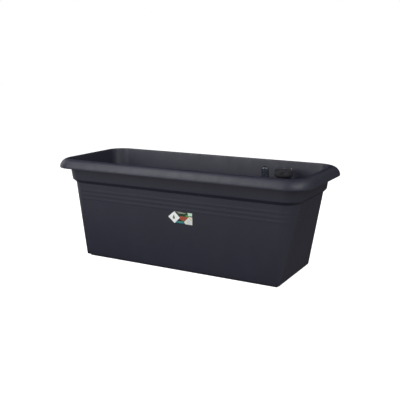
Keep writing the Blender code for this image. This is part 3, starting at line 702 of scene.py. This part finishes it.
def make_lid(material):
    """The lid is built about its hinge axis, then set on it."""
    low = FILL_TOP_Z + GAP - HINGE_Z
    top = low + LID_THICKNESS
    middle = FILL_Y - HINGE_Y
    bm = bmesh.new()
    prism(bm, lid_outline(), low, top)
    lid = add_object("fill_lid_moulding", bm, material, "fill_lid")
    apply_boolean(lid, cylinder_along_x(KNUCKLE_RADIUS, NECK_WIDTH / 2, 0, 0), "UNION")
    ring = bmesh.new()
    inner = LID_RING_RADIUS - LID_RING_WALL
    profile = [
        (inner, low - LID_RING_DROP),
        (LID_RING_RADIUS - 0.0006, low - LID_RING_DROP),
        (LID_RING_RADIUS, low - LID_RING_DROP + 0.0008),
        (LID_RING_RADIUS, low + 0.0012),
        (inner, low + 0.0012),
    ]
    placed(ring, Matrix.Translation((0, middle, 0)), turned, profile, 64, closed=True)
    apply_boolean(lid, ring, "UNION")
    drop = bmesh.new()
    place = Matrix.Translation((0, middle - 0.003, 0))
    placed(drop, place, prism, drop_outline(0.0065, 0.0150), top - 0.0005, top + 0.0006)
    apply_boolean(lid, drop, "UNION")
    for index in range(3):
        ridge = bmesh.new()
        y = middle - LID_RADIUS - 0.0050 + 0.0018 * index
        box(ridge, (-0.0045, y, top - 0.0005), (0.0045, y + 0.0008, top + 0.0005))
        apply_boolean(lid, ridge, "UNION")
    apply_boolean(lid, cylinder_along_x(PIN_BORE_RADIUS, NECK_WIDTH, 0, 0), "DIFFERENCE")
    lid.data.transform(Matrix.Translation((FILL_X, HINGE_Y, HINGE_Z)))
    soften(lid, 0.0003, 2)
    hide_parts("fill_lid")


def make_pin(material):
    end = EAR_OUTER_X + GAP
    half = [(PIN_RADIUS, end), (PIN_HEAD_RADIUS - 0.0003, end), (PIN_HEAD_RADIUS, end + 0.0003)]
    half += [(PIN_HEAD_RADIUS - 0.0004, end + PIN_HEAD - 0.0002), (0, end + PIN_HEAD)]
    profile = [(radius, -height) for radius, height in reversed(half)] + half
    place = Matrix.Translation((FILL_X, HINGE_Y, HINGE_Z)) @ Matrix.Rotation(math.pi / 2, 4, "Y")
    pin = turned_piece("hinge_pin_turned", profile, material, "right_deck", place, 32)
    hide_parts("hinge_pin")


# Float gauge

GAUGE_PLACE = Matrix.Translation((GAUGE_X, GAUGE_Y, 0))


def gauge_tube_profile():
    seat = DECK_TOP_Z + GAP
    inner = GAUGE_RADIUS - GAUGE_WALL
    profile = [(GAUGE_LIP_RADIUS, TUBE_LOW_Z), (GAUGE_RADIUS - 0.0005, TUBE_LOW_Z)]
    profile += [(GAUGE_RADIUS, TUBE_LOW_Z + 0.0005), (GAUGE_RADIUS, seat)]
    profile += [(GAUGE_COLLAR_RADIUS - 0.0004, seat), (GAUGE_COLLAR_RADIUS, seat + 0.0004)]
    profile += arc_points((GAUGE_COLLAR_RADIUS - 0.0008, seat + COLLAR - 0.0008), 0.0008, 0, 90, 4)
    profile += arc_points((GAUGE_RADIUS + 0.0012, seat + COLLAR + 0.0012), 0.0012, 270, 180, 4)
    profile += [(GAUGE_RADIUS, GAUGE_TOP_Z - 0.0003), (GAUGE_RADIUS - 0.0003, GAUGE_TOP_Z)]
    profile += [(inner, GAUGE_TOP_Z), (inner, TUBE_LOW_Z + GAUGE_WALL)]
    return profile + [(GAUGE_LIP_RADIUS, TUBE_LOW_Z + GAUGE_WALL)]


def make_gauge_tube(material):
    profile = gauge_tube_profile()
    tube = turned_piece(
        "gauge_tube_moulding", profile, material, "right_deck", closed=True
    )
    notches = notch_tools(GAUGE_RADIUS, GAUGE_NOTCH, TUBE_LOW_Z + 2 * GAUGE_WALL)
    apply_boolean(tube, notches, "DIFFERENCE")
    tube.data.transform(GAUGE_PLACE)
    tube.data.set_sharp_from_angle(angle=SHARP_ANGLE)
    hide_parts("gauge_tube")


def make_gauge_window(material):
    """Clear domed cap that plugs into the top of the gauge tube."""
    base = GAUGE_TOP_Z + GAP
    inner = GAUGE_RADIUS - WINDOW_WALL
    spigot_inner = WINDOW_SPIGOT_RADIUS - WINDOW_WALL
    shoulder = WINDOW_TOP_Z - WINDOW_DOME
    spigot_low = base - WINDOW_SPIGOT_DROP
    outside = [(spigot_inner, spigot_low), (WINDOW_SPIGOT_RADIUS, spigot_low)]
    outside += [(WINDOW_SPIGOT_RADIUS, base), (GAUGE_RADIUS - 0.0003, base)]
    outside.append((GAUGE_RADIUS, base + 0.0003))
    angles = [math.pi / 2 * step / 14 for step in range(14)]
    outside += [(GAUGE_RADIUS * math.cos(a), shoulder + WINDOW_DOME * math.sin(a)) for a in angles]
    inside = [(0, WINDOW_TOP_Z - WINDOW_WALL)]
    height = WINDOW_DOME - WINDOW_WALL
    inside += [(inner * math.cos(a), shoulder + height * math.sin(a)) for a in reversed(angles)]
    inside.append((spigot_inner, base + WINDOW_WALL))
    profile = inside + outside + [(0, WINDOW_TOP_Z)]
    window = turned_piece(
        "gauge_window_dome", profile, material, "right_deck", GAUGE_PLACE
    )
    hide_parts("gauge_window")


def rounded_rod_profile(radius, low, high, edge, steps):
    """Solid rod with rounded ends."""
    profile = [(0, low)] + arc_points((radius - edge, low + edge), edge, -90, 0, steps)
    return profile + arc_points((radius - edge, high - edge), edge, 0, 90, steps) + [(0, high)]


def make_float_parts(foam, steel, red):
    top = FLOAT_LOW_Z + FLOAT_LENGTH
    profile = rounded_rod_profile(FLOAT_RADIUS, FLOAT_LOW_Z, top, 0.0020, 6)
    float_body = turned_piece(
        "float_foam_body", profile, foam, "float", GAUGE_PLACE, 40
    )
    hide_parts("float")
    low, high = top + GAP, MARKER_LOW_Z - GAP
    profile = [(0, low), (ROD_RADIUS, low), (ROD_RADIUS, high), (0, high)]
    rod = turned_piece("gauge_rod_drawn", profile, steel, "float", GAUGE_PLACE, 24)
    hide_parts("gauge_rod")
    top = MARKER_LOW_Z + MARKER_LENGTH
    profile = rounded_rod_profile(MARKER_RADIUS, MARKER_LOW_Z, top, 0.0010, 5)
    marker = turned_piece(
        "gauge_marker_disc", profile, red, "float", GAUGE_PLACE, 40
    )
    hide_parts("gauge_marker")


# Sticker


def front_wall_point(x, z, off_wall):
    point = bowed(Vector((x, -(HALF_DEPTH - sharp_section(z)[1]), z)))
    return Vector((point[0], point[1] - off_wall, point[2]))


def tag_layer(bm, off_wall, columns, rows):
    """Grid of points over the sticker's outline, one list for each column from its tip."""
    layer = []
    for column in range(columns + 1):
        along = TAG_LENGTH * column / columns
        reach = TAG_HEIGHT / 2 * min(1.0, max(along, 0.0004) / TAG_POINT)
        points = []
        for row in range(rows + 1):
            up = reach * (2 * row / rows - 1)
            point = front_wall_point(TAG_TIP_X + along, TAG_MIDDLE_Z + up, off_wall)
            points.append(bm.verts.new(point))
        layer.append(points)
    return layer


def make_tag(material):
    """Sticker that follows the wall. Its own frame has its tip at the origin and runs along X."""
    columns = 38
    rows = 12
    bm = bmesh.new()
    wall = tag_layer(bm, 0.0, columns, rows)
    front = tag_layer(bm, GAP + TAG_THICKNESS, columns, rows)
    for c in range(columns):
        for r in range(rows):
            bm.faces.new((front[c][r], front[c + 1][r], front[c + 1][r + 1], front[c][r + 1]))
            bm.faces.new((wall[c][r + 1], wall[c + 1][r + 1], wall[c + 1][r], wall[c][r]))
        bm.faces.new((wall[c][0], wall[c + 1][0], front[c + 1][0], front[c][0]))
        bm.faces.new((front[c][rows], front[c + 1][rows], wall[c + 1][rows], wall[c][rows]))
    for r in range(rows):
        bm.faces.new((wall[0][r + 1], wall[0][r], front[0][r], front[0][r + 1]))
        bm.faces.new((wall[-1][r], wall[-1][r + 1], front[-1][r + 1], front[-1][r]))
    tag = add_object("front_tag_print", bm, material, "trough")
    origin = Vector((TAG_TIP_X, 0, TAG_MIDDLE_Z))
    tag.data.transform(Matrix.Translation(-origin))
    tag.location = origin
    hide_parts("front_tag")


# Materials


class Nodes:
    """Small helper that adds and links shader nodes."""

    def __init__(self, name):
        self.material = bpy.data.materials.new(name)
        self.material.use_nodes = True
        self.tree = self.material.node_tree
        self.shader = self.tree.nodes["Principled BSDF"]
        self.position = self.add("ShaderNodeTexCoord").outputs["Object"]

    def add(self, kind, **settings):
        node = self.tree.nodes.new(kind)
        for key, value in settings.items():
            setattr(node, key, value)
        return node

    def link(self, source, target):
        self.tree.links.new(source, target)

    def noise(self, scale, detail=2.0, roughness=0.5, stretch=(1, 1, 1)):
        """Noise over the object, 0 to 1, with features about 1 / scale metres across."""
        mapping = self.add("ShaderNodeMapping")
        mapping.inputs["Scale"].default_value = stretch
        self.link(self.position, mapping.inputs["Vector"])
        noise = self.add("ShaderNodeTexNoise")
        noise.inputs["Scale"].default_value = scale
        noise.inputs["Detail"].default_value = detail
        noise.inputs["Roughness"].default_value = roughness
        self.link(mapping.outputs["Vector"], noise.inputs["Vector"])
        return noise.outputs["Fac"]

    def spread(self, value, low, high, from_low=0.0, from_high=1.0):
        node = self.add("ShaderNodeMapRange")
        node.inputs["From Min"].default_value = from_low
        node.inputs["From Max"].default_value = from_high
        node.inputs["To Min"].default_value = low
        node.inputs["To Max"].default_value = high
        self.link(value, node.inputs["Value"])
        return node.outputs["Result"]

    def math(self, operation, first, second):
        node = self.add("ShaderNodeMath", operation=operation)
        for index, value in enumerate((first, second)):
            if isinstance(value, (int, float)):
                node.inputs[index].default_value = value
            else:
                self.link(value, node.inputs[index])
        return node.outputs["Value"]

    def mix(self, factor, first, second):
        """Mix of two colours, each a tuple or a socket."""
        node = self.add("ShaderNodeMix", data_type="RGBA")
        if isinstance(factor, (int, float)):
            node.inputs["Factor"].default_value = factor
        else:
            self.link(factor, node.inputs["Factor"])
        for name, value in (("A", first), ("B", second)):
            socket = next(s for s in node.inputs if s.name == name and s.type == "RGBA")
            if isinstance(value, tuple):
                socket.default_value = (*value, 1.0)
            else:
                self.link(value, socket)
        return next(s for s in node.outputs if s.type == "RGBA")

    def bump(self, height, strength, distance, normal=None):
        node = self.add("ShaderNodeBump")
        node.inputs["Strength"].default_value = strength
        node.inputs["Distance"].default_value = distance
        self.link(height, node.inputs["Height"])
        if normal is not None:
            self.link(normal, node.inputs["Normal"])
        return node.outputs["Normal"]

    def colour(self, value):
        self.link(value, self.shader.inputs["Base Color"])

    def roughness(self, value):
        self.link(value, self.shader.inputs["Roughness"])

    def normal(self, value):
        self.link(value, self.shader.inputs["Normal"])

    def upward(self):
        """1 where the surface faces up, 0 where it faces level or down."""
        geometry = self.add("ShaderNodeNewGeometry")
        split = self.add("ShaderNodeSeparateXYZ")
        self.link(geometry.outputs["Normal"], split.inputs["Vector"])
        return self.spread(split.outputs["Z"], 0.0, 1.0, 0.25, 0.95)


def trough_plastic():
    """Slate polypropylene, injection moulded in a lightly spark-eroded mould."""
    n = Nodes("trough_plastic")
    n.shader.inputs["Specular IOR Level"].default_value = 0.5
    cloud = n.noise(6, 3)
    fleck = n.noise(800, 1)
    base = n.mix(n.spread(cloud, 0, 1, 0.3, 0.7), (0.0135, 0.0135, 0.0280), (0.0165, 0.0165, 0.0320))
    flecked = n.mix(n.spread(fleck, 0, 0.4, 0.60, 0.74), base, (0.030, 0.030, 0.045))
    dust = n.math("MULTIPLY", n.upward(), n.spread(n.noise(210, 4, 0.65), 0, 0.12, 0.45, 0.75))
    n.colour(n.mix(dust, flecked, (0.07, 0.069, 0.072)))
    flow = n.noise(60, 2, stretch=(1, 1, 0.12))
    rough = n.spread(n.math("ADD", n.noise(35, 3), flow), 0.42, 0.54, 0.7, 1.3)
    n.roughness(rough)
    grain = n.noise(1500, 3, 0.6)
    wave = n.noise(22, 1)
    drag = n.noise(420, 2, stretch=(1, 1, 0.02))
    normal = n.bump(wave, 0.2, 0.0005)
    normal = n.bump(drag, 0.08, 0.00010, normal)
    n.normal(n.bump(grain, 0.4, 0.00010, normal))
    return n.material


def moulded(name, colour, specks, roughness, grain=900, grain_depth=0.00008):
    """Plain moulded plastic: cloudy colour, small specks and a fine grain."""
    n = Nodes(name)
    darker = tuple(channel * 0.85 for channel in colour)
    base = n.mix(n.spread(n.noise(18, 3), 0, 1, 0.3, 0.7), darker, colour)
    n.colour(n.mix(n.spread(n.noise(700, 2), 0, 0.6, 0.62, 0.74), base, specks))
    n.roughness(n.spread(n.noise(60, 3), roughness - 0.07, roughness + 0.07, 0.3, 0.7))
    scratches = n.noise(260, 2, stretch=(1, 0.06, 1))
    normal = n.bump(scratches, 0.15, 0.00008)
    n.normal(n.bump(n.noise(grain, 3, 0.6), 0.4, grain_depth, normal))
    return n.material


def clear_plastic():
    """Clear polystyrene, a little scratched."""
    n = Nodes("clear_plastic")
    n.shader.inputs["Transmission Weight"].default_value = 1.0
    n.shader.inputs["IOR"].default_value = 1.49
    n.colour(n.mix(n.spread(n.noise(30), 0, 1, 0.3, 0.7), (0.70, 0.76, 0.79), (0.80, 0.85, 0.87)))
    n.roughness(n.spread(n.noise(180, 3), 0.03, 0.16, 0.4, 0.8))
    n.normal(n.bump(n.noise(40, 1), 0.05, 0.0002))
    return n.material


def seal_rubber():
    """Black rubber, dull and slightly dusty."""
    n = Nodes("seal_rubber")
    tone = n.spread(n.noise(150, 3), 0, 1, 0.35, 0.7)
    n.colour(n.mix(tone, (0.008, 0.008, 0.008), (0.020, 0.020, 0.019)))
    n.roughness(n.spread(n.noise(300, 2), 0.65, 0.85, 0.3, 0.7))
    n.normal(n.bump(n.noise(2500, 2), 0.3, 0.00004))
    return n.material


def float_foam():
    """Closed-cell foam, with a pebbled skin."""
    n = Nodes("float_foam")
    cells = n.add("ShaderNodeTexVoronoi")
    cells.inputs["Scale"].default_value = 900
    n.link(n.position, cells.inputs["Vector"])
    tone = n.spread(cells.outputs["Distance"], 0, 1, 0.1, 0.8)
    n.colour(n.mix(tone, (0.62, 0.61, 0.56), (0.80, 0.79, 0.75)))
    n.roughness(n.spread(n.noise(200), 0.65, 0.85, 0.3, 0.7))
    n.normal(n.bump(cells.outputs["Distance"], 0.6, 0.0003))
    return n.material


def drawn_steel():
    """Bright steel with fine marks along it from drawing."""
    n = Nodes("steel")
    n.shader.inputs["Metallic"].default_value = 1.0
    n.colour(n.mix(n.spread(n.noise(400, 2), 0, 1, 0.3, 0.7), (0.48, 0.48, 0.49), (0.60, 0.60, 0.60)))
    n.roughness(n.spread(n.noise(600, 2, stretch=(1, 1, 0.1)), 0.25, 0.45, 0.3, 0.7))
    n.normal(n.bump(n.noise(1500, 2, stretch=(1, 1, 0.05)), 0.2, 0.00003))
    return n.material


class TagPrint(Nodes):
    """Flat printed shapes on the sticker. X runs along it from the tip and Z up from its middle line."""

    def __init__(self, name):
        super().__init__(name)
        split = self.add("ShaderNodeSeparateXYZ")
        self.link(self.position, split.inputs["Vector"])
        self.along = split.outputs["X"]
        self.up = split.outputs["Z"]

    def polygon(self, *corners):
        """1 inside a convex outline given anticlockwise in millimetres, with edges 0.2 mm soft."""
        mask = None
        for (x0, z0), (x1, z1) in zip(corners, corners[1:] + corners[:1]):
            length = math.hypot(x1 - x0, z1 - z0)
            out_x, out_z = (z1 - z0) / length, (x0 - x1) / length
            along = self.math("MULTIPLY", self.along, out_x)
            reach = self.math("ADD", along, self.math("MULTIPLY", self.up, out_z))
            edge = (x0 * out_x + z0 * out_z) / 1000
            side = self.spread(reach, 1.0, 0.0, edge - 0.0001, edge + 0.0001)
            mask = side if mask is None else self.math("MULTIPLY", mask, side)
        return mask

    def circle(self, x, z, radius):
        """1 inside a circle given in millimetres, with an edge 0.2 mm soft."""
        across = self.math("SUBTRACT", self.along, x / 1000)
        height = self.math("SUBTRACT", self.up, z / 1000)
        across_square = self.math("MULTIPLY", across, across)
        height_square = self.math("MULTIPLY", height, height)
        distance = self.math("SQRT", self.math("ADD", across_square, height_square), 0.0)
        return self.spread(distance, 1.0, 0.0, radius / 1000 - 0.0001, radius / 1000 + 0.0001)


def tag_print():
    """Generic printed art: leaves over soil, a pale panel, and a white diamond with a water drop."""
    n = TagPrint("tag_paper")
    mottle = n.spread(n.noise(260, 3), 0, 1, 0.42, 0.6)
    art = n.mix(mottle, (0.006, 0.014, 0.010), (0.03, 0.09, 0.03))
    streak = n.polygon((30, 12.4), (54, 12.8), (57, 14.8), (33, 15.2))
    art = n.mix(n.math("MULTIPLY", streak, 0.6), art, (0.55, 0.58, 0.50))
    art = n.mix(n.polygon((20, 15.7), (45, 15.7), (45, 20), (20, 20)), art, (0.42, 0.30, 0.32))
    art = n.mix(n.polygon((55, 3), (70, 3), (67, 10.5), (57, 10.5)), art, (0.10, 0.27, 0.08))
    art = n.mix(n.polygon((64, 8), (80, 8), (80, 20), (61, 20)), art, (0.55, 0.74, 0.60))
    water = n.mix(mottle, (0.035, 0.15, 0.17), (0.05, 0.28, 0.27))
    art = n.mix(n.polygon((10, -20), (60, -20), (52, -9.5), (10, -9.5)), art, water)
    art = n.mix(n.polygon((10, -20), (60, -20), (60, -15.2), (10, -15.2)), art, (0.012, 0.020, 0.040))
    soil = n.mix(n.spread(n.noise(500, 3), 0, 1, 0.4, 0.6), (0.28, 0.050, 0.026), (0.40, 0.09, 0.05))
    art = n.mix(n.polygon((35, -4), (49, -9), (64, 4), (37, 5)), art, soil)
    art = n.mix(n.polygon((33, -8), (44, -8), (33, -3.5)), art, (0.010, 0.010, 0.012))
    art = n.mix(n.polygon((50, -10.5), (58, -20), (80, -20), (80, 5), (67, 6)), art, (0.72, 0.70, 0.62))
    art = n.mix(n.math("MULTIPLY", n.circle(69, 2.5, 3.2), 0.5), art, (0.78, 0.46, 0.28))
    art = n.mix(n.circle(65, -11, 6.8), art, (0.62, 0.65, 0.64))
    art = n.mix(n.math("MULTIPLY", n.circle(72.5, -2.5, 2.2), 0.6), art, (0.30, 0.38, 0.30))
    art = n.mix(n.polygon((0, 0), (19, -18), (37.5, 0), (19, 18)), art, (0.84, 0.85, 0.84))
    art = n.mix(n.circle(18, -1.6, 3.6), art, (0.10, 0.16, 0.13))
    art = n.mix(n.polygon((14.8, 0), (21.2, 0), (18, 7)), art, (0.10, 0.16, 0.13))
    n.colour(art)
    n.shader.inputs["Specular IOR Level"].default_value = 0.4
    n.roughness(n.spread(n.noise(120, 2), 0.30, 0.42, 0.3, 0.7))
    n.normal(n.bump(n.noise(45, 2), 0.10, 0.0003))
    return n.material


def repaint(words, material, edge=0.0004):
    """A new material and rounded edges for the CAD nodes whose names hold one of these words."""
    for obj in bpy.data.objects:
        if obj.type == "MESH" and any(word in obj.name for word in words):
            for slot in obj.material_slots:
                slot.material = material
            soften(obj, edge, 2)


# Stage


def make_floor():
    bm = bmesh.new()
    bmesh.ops.create_circle(bm, cap_ends=True, segments=96, radius=14)
    mesh = bpy.data.meshes.new("studio_floor")
    bm.to_mesh(mesh)
    bm.free()
    floor = bpy.data.objects.new("studio_floor", mesh)
    material = bpy.data.materials.new("studio_floor")
    material.use_nodes = True
    shader = material.node_tree.nodes["Principled BSDF"]
    shader.inputs["Base Color"].default_value = (0.5, 0.5, 0.5, 1)
    shader.inputs["Roughness"].default_value = 0.9
    shader.inputs["Specular IOR Level"].default_value = 0.1
    shader.inputs["Emission Color"].default_value = (1, 1, 1, 1)
    shader.inputs["Emission Strength"].default_value = 1.0
    mesh.materials.append(material)
    bpy.context.scene.collection.objects.link(floor)
    floor.visible_diffuse = False
    floor.visible_glossy = False


def make_light(name, azimuth, elevation, distance, size, power):
    """Square softbox that faces the planter, at an angle round from the front and up."""
    turn, rise = math.radians(azimuth), math.radians(elevation)
    flat = math.cos(rise)
    away = Vector((math.sin(turn) * flat, -math.cos(turn) * flat, math.sin(rise)))
    light = bpy.data.lights.new(name, "AREA")
    light.size = size
    light.energy = power
    obj = bpy.data.objects.new(name, light)
    obj.location = LIGHT_TARGET + away * distance
    obj.rotation_mode = "QUATERNION"
    obj.rotation_quaternion = (-away).to_track_quat("-Z", "Y")
    bpy.context.scene.collection.objects.link(obj)


def make_table_glow(name, place, size, power):
    """Panel that faces up from the floor, so that the walls near it are brighter toward their tops."""
    light = bpy.data.lights.new(name, "AREA")
    light.shape = "RECTANGLE"
    light.size, light.size_y = size
    light.energy = power
    obj = bpy.data.objects.new(name, light)
    obj.location = place
    obj.rotation_euler = (math.pi, 0, 0)
    obj.visible_camera = False
    bpy.context.scene.collection.objects.link(obj)


def make_world():
    """White surround for the camera. As light it is a soft glow from the right, front and below."""
    world = bpy.data.worlds.new("studio")
    world.use_nodes = True
    tree = world.node_tree
    background = tree.nodes["Background"]
    background.inputs["Color"].default_value = (1, 1, 1, 1)
    coordinates = tree.nodes.new("ShaderNodeTexCoord")
    split = tree.nodes.new("ShaderNodeSeparateXYZ")
    tree.links.new(coordinates.outputs["Generated"], split.inputs["Vector"])
    total = None
    for axis, start, end, strength in GLOWS:
        ramp = tree.nodes.new("ShaderNodeMapRange")
        ramp.inputs["From Min"].default_value = start
        ramp.inputs["From Max"].default_value = end
        ramp.inputs["To Max"].default_value = strength
        tree.links.new(split.outputs[axis], ramp.inputs["Value"])
        if total is None:
            total = ramp.outputs["Result"]
            continue
        add = tree.nodes.new("ShaderNodeMath")
        add.operation = "ADD"
        tree.links.new(total, add.inputs[0])
        tree.links.new(ramp.outputs["Result"], add.inputs[1])
        total = add.outputs["Value"]
    path = tree.nodes.new("ShaderNodeLightPath")
    choice = tree.nodes.new("ShaderNodeMix")
    tree.links.new(path.outputs["Is Camera Ray"], choice.inputs["Factor"])
    tree.links.new(total, choice.inputs["A"])
    choice.inputs["B"].default_value = 1.0
    tree.links.new(choice.outputs["Result"], background.inputs["Strength"])
    bpy.context.scene.world = world


def make_camera():
    camera = bpy.data.cameras.new("camera")
    camera.lens = CAMERA_LENS
    camera.sensor_width = 36
    camera.clip_start = 0.05
    camera.clip_end = 100
    obj = bpy.data.objects.new("camera", camera)
    flat = math.cos(CAMERA_ELEVATION)
    along = math.sin(CAMERA_AZIMUTH) * flat
    front = -math.cos(CAMERA_AZIMUTH) * flat
    back = Vector((along, front, math.sin(CAMERA_ELEVATION)))
    obj.location = CAMERA_TARGET + back * CAMERA_DISTANCE
    obj.rotation_mode = "QUATERNION"
    obj.rotation_quaternion = (-back).to_track_quat("-Z", "Y")
    bpy.context.scene.collection.objects.link(obj)
    bpy.context.scene.camera = obj


make_camera()
make_world()
make_floor()
for light in LIGHTS:
    make_light(*light)
for panel in TABLE_GLOWS:
    make_table_glow(*panel)
bpy.context.scene.view_settings.view_transform = "Standard"

slate = trough_plastic()
insert = moulded("insert_plastic", (0.016, 0.016, 0.017), (0.05, 0.05, 0.05), 0.55)
tube = moulded("tube_plastic", (0.022, 0.022, 0.028), (0.05, 0.05, 0.055), 0.56)
plug = moulded("plug_plastic", (0.024, 0.024, 0.028), (0.04, 0.04, 0.044), 0.42)
red = moulded("marker_red", (0.55, 0.03, 0.02), (0.62, 0.06, 0.05), 0.35)
steel = drawn_steel()
make_trough(slate)
make_tag(tag_print())
make_ports(plug, seal_rubber())
repaint(("_deck", "_leg_", "_soil_well_"), insert)
make_fill_tube(tube)
make_lid(tube)
make_pin(steel)
make_gauge_tube(tube)
make_gauge_window(clear_plastic())
make_float_parts(float_foam(), steel, red)
